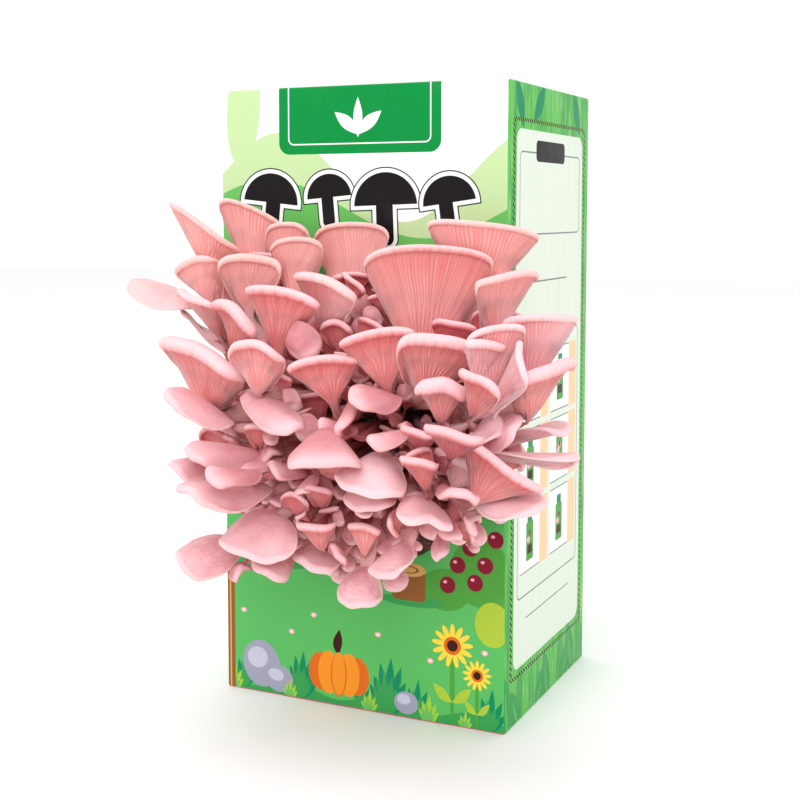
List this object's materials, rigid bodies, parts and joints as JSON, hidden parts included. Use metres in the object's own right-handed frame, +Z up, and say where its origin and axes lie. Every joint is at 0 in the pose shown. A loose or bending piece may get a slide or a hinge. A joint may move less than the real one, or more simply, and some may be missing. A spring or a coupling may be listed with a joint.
{
  "type": "mushroom grow kit",
  "caption": "Upright printed carton with a growing block bulging from a window in its front and a dense cluster of pink oyster mushrooms fanning out of it.",
  "frame": {"origin": "middle of the carton's underside", "axes": "+Z up the carton; the window and the mushrooms face -Y; +X to the right as seen from the front"},
  "size_m": [0.1768, 0.1745, 0.24],
  "materials": {
    "carton": "printed, semi-gloss",
    "growing_block": "rough, damp sawdust",
    "great_fan": "satin flesh",
    "great_left_visor": "satin flesh",
    "centre_pale_cap": "satin flesh",
    "centre_left_tongue": "satin flesh",
    "centre_broad_fan": "satin flesh",
    "left_hood": "satin flesh",
    "heart_cap": "satin flesh",
    "right_long_fan": "satin flesh",
    "lower_left_tongue": "satin flesh",
    "lower_left_cap": "satin flesh",
    "left_tongue": "satin flesh",
    "lower_left_ball": "satin flesh",
    "low_right_cap": "satin flesh",
    "lowest_cap": "satin flesh",
    "left_pale_cap": "satin flesh",
    "right_wing": "satin flesh",
    "right_corner_fan": "satin flesh",
    "right_upper_fan": "satin flesh",
    "right_inner_hood": "satin flesh",
    "right_mid_fan": "satin flesh",
    "right_blade": "satin flesh",
    "right_inner_blade": "satin flesh",
    "centre_visor": "satin flesh",
    "right_double_visor": "satin flesh",
    "right_diagonal_cap": "satin flesh",
    "right_pale_cap": "satin flesh",
    "right_thin_fan": "satin flesh",
    "right_thin_blade": "satin flesh",
    "right_tongue": "satin flesh",
    "right_low_band": "satin flesh",
    "right_small_cap": "satin flesh",
    "back_ruffled_fan": "satin flesh",
    "top_left_fan": "satin flesh",
    "top_right_wing": "satin flesh",
    "back_left_fan": "satin flesh",
    "back_left_peak": "satin flesh",
    "far_left_blade": "satin flesh",
    "left_arch_fan": "satin flesh",
    "left_upper_fan": "satin flesh",
    "left_broad_fan": "satin flesh",
    "left_slant_hood": "satin flesh",
    "left_mid_fan": "satin flesh",
    "far_left_cap": "satin flesh",
    "left_round_fan": "satin flesh",
    "left_pointed_cap": "satin flesh",
    "left_shaded_cap": "satin flesh",
    "left_thin_cap": "satin flesh",
    "centre_slant_fan": "satin flesh",
    "centre_left_fan": "satin flesh",
    "centre_small_visor": "satin flesh",
    "centre_side_cap": "satin flesh",
    "centre_low_hood": "satin flesh",
    "centre_low_fan": "satin flesh",
    "bottom_left_cap": "satin flesh",
    "bottom_flat_cap": "satin flesh",
    "heart_lobe": "satin flesh",
    "low_funnel": "satin flesh",
    "low_left_funnel": "satin flesh"
  },
  "bodies": {
    "root": {"carton": "carton", "growing_block": "growing_block", "great_fan": "great_fan", "great_left_visor": "great_left_visor", "centre_pale_cap": "centre_pale_cap", "centre_left_tongue": "centre_left_tongue", "centre_broad_fan": "centre_broad_fan", "left_hood": "left_hood", "heart_cap": "heart_cap", "right_long_fan": "right_long_fan", "lower_left_tongue": "lower_left_tongue", "lower_left_cap": "lower_left_cap", "left_tongue": "left_tongue", "lower_left_ball": "lower_left_ball", "low_right_cap": "low_right_cap", "lowest_cap": "lowest_cap", "left_pale_cap": "left_pale_cap", "right_wing": "right_wing", "right_corner_fan": "right_corner_fan", "right_upper_fan": "right_upper_fan", "right_inner_hood": "right_inner_hood", "right_mid_fan": "right_mid_fan", "right_blade": "right_blade", "right_inner_blade": "right_inner_blade", "centre_visor": "centre_visor", "right_double_visor": "right_double_visor", "right_diagonal_cap": "right_diagonal_cap", "right_pale_cap": "right_pale_cap", "right_thin_fan": "right_thin_fan", "right_thin_blade": "right_thin_blade", "right_tongue": "right_tongue", "right_low_band": "right_low_band", "right_small_cap": "right_small_cap", "back_ruffled_fan": "back_ruffled_fan", "top_left_fan": "top_left_fan", "top_right_wing": "top_right_wing", "back_left_fan": "back_left_fan", "back_left_peak": "back_left_peak", "far_left_blade": "far_left_blade", "left_arch_fan": "left_arch_fan", "left_upper_fan": "left_upper_fan", "left_broad_fan": "left_broad_fan", "left_slant_hood": "left_slant_hood", "left_mid_fan": "left_mid_fan", "far_left_cap": "far_left_cap", "left_round_fan": "left_round_fan", "left_pointed_cap": "left_pointed_cap", "left_shaded_cap": "left_shaded_cap", "left_thin_cap": "left_thin_cap", "centre_slant_fan": "centre_slant_fan", "centre_left_fan": "centre_left_fan", "centre_small_visor": "centre_small_visor", "centre_side_cap": "centre_side_cap", "centre_low_hood": "centre_low_hood", "centre_low_fan": "centre_low_fan", "bottom_left_cap": "bottom_left_cap", "bottom_flat_cap": "bottom_flat_cap", "heart_lobe": "heart_lobe", "low_funnel": "low_funnel", "low_left_funnel": "low_left_funnel"}
  },
  "joints": []
}
